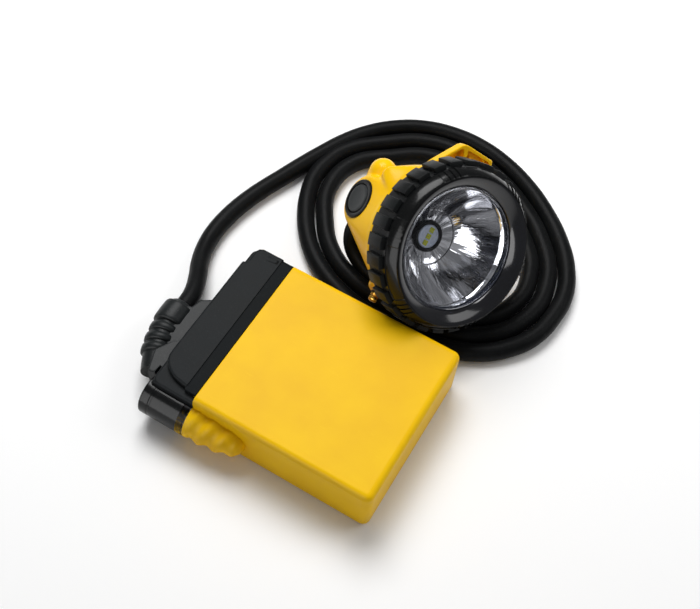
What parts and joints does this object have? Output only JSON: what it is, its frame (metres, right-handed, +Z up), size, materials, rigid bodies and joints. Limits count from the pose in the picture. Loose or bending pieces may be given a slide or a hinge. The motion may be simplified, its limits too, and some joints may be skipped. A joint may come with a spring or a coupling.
{
  "type": "miner's cap lamp",
  "caption": "Corded cap lamp: a flat belt battery pack joined by a coiled rubber cord to a round headpiece with a grip bezel, push switch and helmet hook.",
  "frame": {"origin": "centre of the battery pack's large resting face", "axes": "+X from the pack's lid to its closed end, +Y from the pack towards the headpiece, +Z up"},
  "size_m": [0.1744, 0.2295, 0.0831],
  "materials": {
    "case_yellow": "satin moulded",
    "lid_black": "fine moulded grain",
    "head_yellow": "satin moulded",
    "head_black": "satin moulded",
    "cord_rubber": "matte",
    "boot_rubber": "matte",
    "seal_rubber": "matte",
    "lens_clear": "polished",
    "mirror": "vacuum metallised",
    "steel": "plated",
    "nickel": "rolled strip",
    "brass": "turned",
    "alu": "machined",
    "cell_wrap": "shrink-wrapped",
    "board_green": "solder mask",
    "board_white": "solder mask",
    "chip_black": "moulded",
    "light_white": "ceramic",
    "phosphor": "phosphor coat",
    "wire_red": "insulated",
    "cradle_white": "moulded"
  },
  "bodies": {
    "lamp": {"battery_case": "case_yellow", "battery_lid": "lid_black", "lid_seal": "seal_rubber", "lid_screws": "steel", "lock_screw": "steel", "cells": "cell_wrap", "cell_cradle": "cradle_white", "cell_straps": "nickel", "protection_board": "board_green", "board_parts": "chip_black", "pack_leads": "wire_red", "cable_clamp": "chip_black", "battery_boot": "boot_rubber", "cord": "cord_rubber", "head_boot": "boot_rubber", "lamp_body": "head_yellow", "bezel_ring": "head_black", "lens": "lens_clear", "lens_seal": "seal_rubber", "reflector": "mirror", "led_board": "board_white", "led_package": "light_white", "led_dies": "phosphor", "heat_sink": "alu", "driver_board": "board_green", "driver_parts": "chip_black", "head_leads": "wire_red", "micro_switch": "chip_black", "switch_ring": "head_black", "switch_spring": "steel", "helmet_hook": "head_yellow", "hook_screws": "steel", "pin_insulator": "head_black", "contact_pin": "brass", "bezel_lock_screw": "steel"},
    "button": {"switch_button": "head_black"}
  },
  "joints": [
    {"name": "button_press", "type": "slide", "parent": "lamp", "child": "button", "axis": [0.6736, 0.4368, -0.5962], "range_m": [0, 0.0016], "stiffness_N_per_m": 1500, "springref_m": -0.0005, "deforming": ["switch_spring"]}
  ]
}
